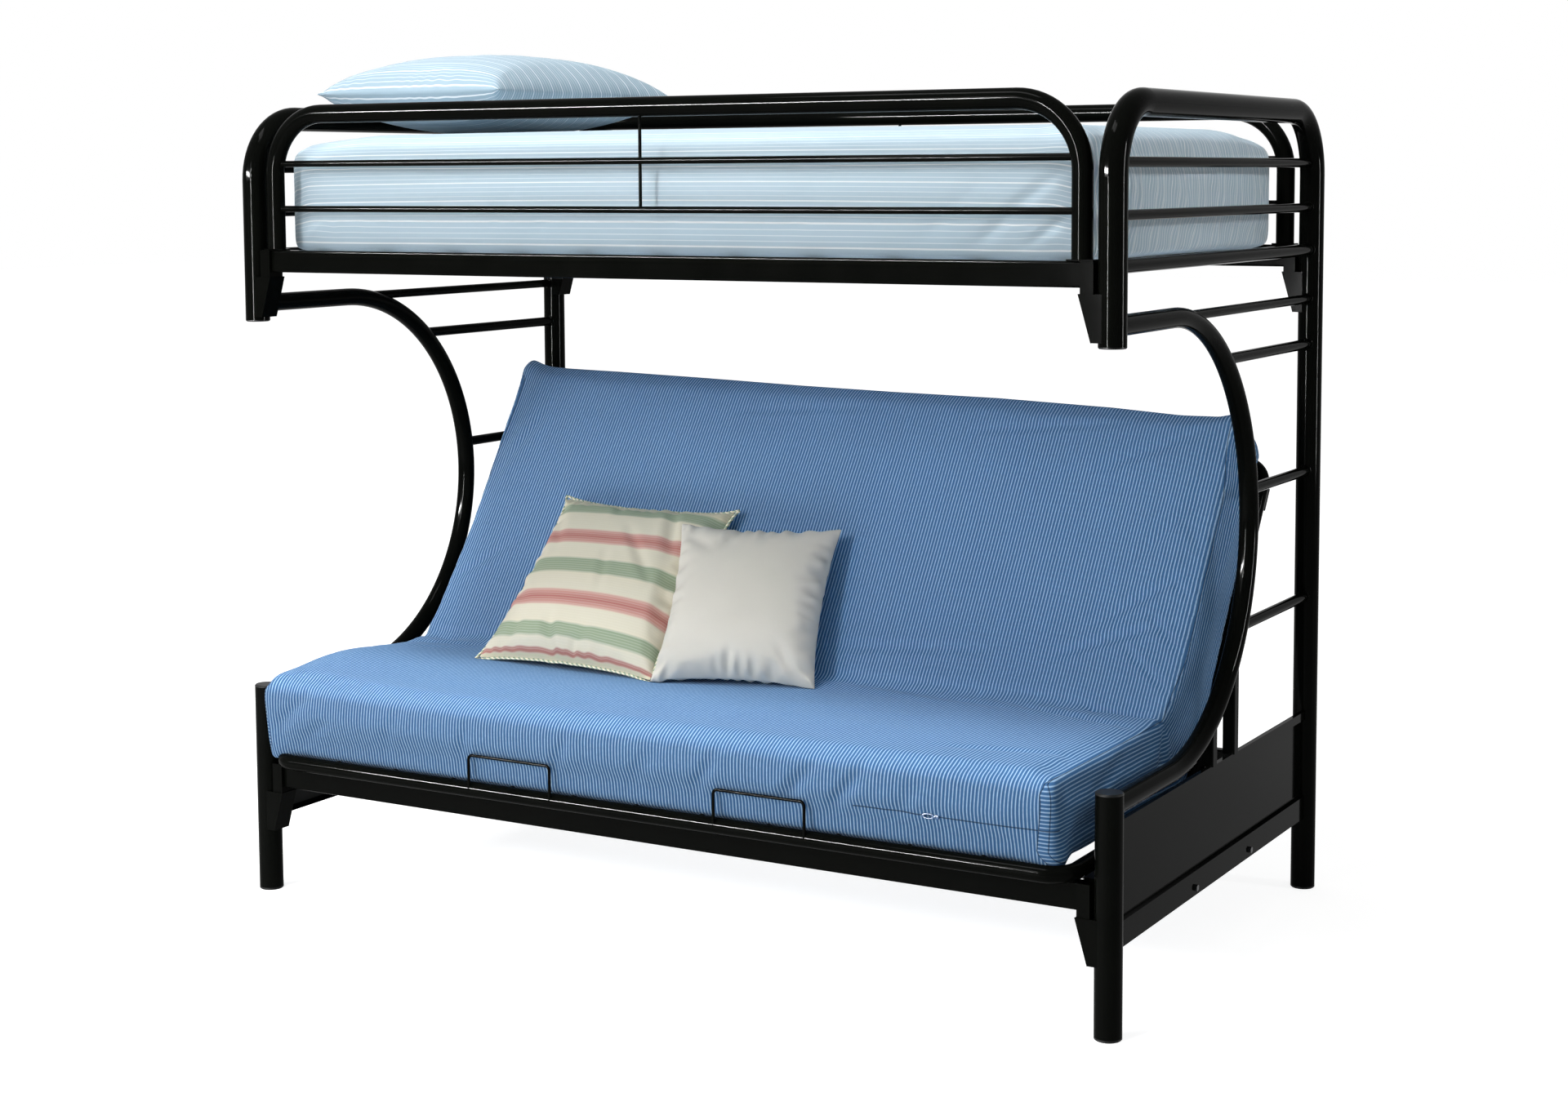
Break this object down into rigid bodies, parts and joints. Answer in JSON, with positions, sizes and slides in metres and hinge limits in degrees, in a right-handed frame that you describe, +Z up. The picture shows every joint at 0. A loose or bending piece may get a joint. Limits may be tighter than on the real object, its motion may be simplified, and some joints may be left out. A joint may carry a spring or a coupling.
{
  "type": "futon bunk bed",
  "caption": "Twin over futon bunk bed in bent black steel tube: hoop ends with ladder rungs, guard rails and a slatted upper bunk over a sliding, folding futon.",
  "frame": {"origin": "on the floor, in the middle of the overall footprint with the futon folded up as a sofa", "axes": "+Z up, X along the bed with its right end at +X, -Y towards the front where one sits down"},
  "size_m": [1.9808, 1.1672, 1.7828],
  "materials": {
    "gloss_black_enamel": "gloss",
    "satin_black_enamel": "satin",
    "black_oxide_steel": "satin",
    "zinc_plated_steel": "satin",
    "black_plastic": "matte",
    "striped_sheet": "matte",
    "blue_futon_cover": "matte",
    "striped_cushion_cloth": "matte",
    "plain_cushion_cloth": "matte"
  },
  "bodies": {
    "bunk_frame": {"left_end_hoop": "gloss_black_enamel", "right_end_hoop": "gloss_black_enamel", "left_front_leg": "gloss_black_enamel", "right_front_leg": "gloss_black_enamel", "left_c_tube": "gloss_black_enamel", "right_c_tube": "gloss_black_enamel", "left_end_rungs": "gloss_black_enamel", "right_end_rungs": "gloss_black_enamel", "left_ladder_rungs": "gloss_black_enamel", "right_ladder_rungs": "gloss_black_enamel", "left_end_panel": "gloss_black_enamel", "right_end_panel": "gloss_black_enamel", "left_uprights": "gloss_black_enamel", "right_uprights": "gloss_black_enamel", "left_seat_track": "satin_black_enamel", "right_seat_track": "satin_black_enamel", "track_bolts": "black_oxide_steel", "track_nuts": "zinc_plated_steel", "foot_plugs": "black_plastic", "leg_caps": "black_plastic", "hoop_plugs": "black_plastic", "upper_front_rail": "gloss_black_enamel", "upper_rear_rail": "gloss_black_enamel", "lower_front_rail": "gloss_black_enamel", "lower_rear_rail": "gloss_black_enamel", "upper_rail_pockets": "gloss_black_enamel", "lower_rail_pockets": "gloss_black_enamel", "front_guard_tube": "gloss_black_enamel", "rear_guard_tube": "gloss_black_enamel", "front_guard_rods": "gloss_black_enamel", "rear_guard_rods": "gloss_black_enamel", "deck_slats_set": "satin_black_enamel", "upper_mattress": "striped_sheet", "bed_pillow": "striped_sheet"},
    "futon_seat": {"seat_frame": "gloss_black_enamel", "seat_slats": "satin_black_enamel", "seat_hinge_plates": "gloss_black_enamel", "seat_glides": "black_plastic", "mattress_retainers": "gloss_black_enamel", "hinge_pins": "zinc_plated_steel", "futon_mattress_seat": "blue_futon_cover"},
    "futon_back": {"back_frame": "gloss_black_enamel", "back_slats": "satin_black_enamel", "back_hinge_plates": "gloss_black_enamel", "back_glides": "black_plastic", "futon_mattress_back": "blue_futon_cover", "striped_cushion": "striped_cushion_cloth", "plain_cushion": "plain_cushion_cloth"}
  },
  "joints": [
    {"name": "seat_slide", "type": "slide", "parent": "bunk_frame", "child": "futon_seat", "axis": [0, -1, 0], "range_m": [0, 0.3]},
    {"name": "back_fold", "type": "hinge", "parent": "futon_seat", "child": "futon_back", "pos_m": [0, 0.05125, 0.2944], "axis": [-1, 0, 0], "range_deg": [0, 55]}
  ],
  "couplings": [
    {"joint": "back_fold", "follows": "seat_slide", "rad_per_m": 3.1997}
  ]
}
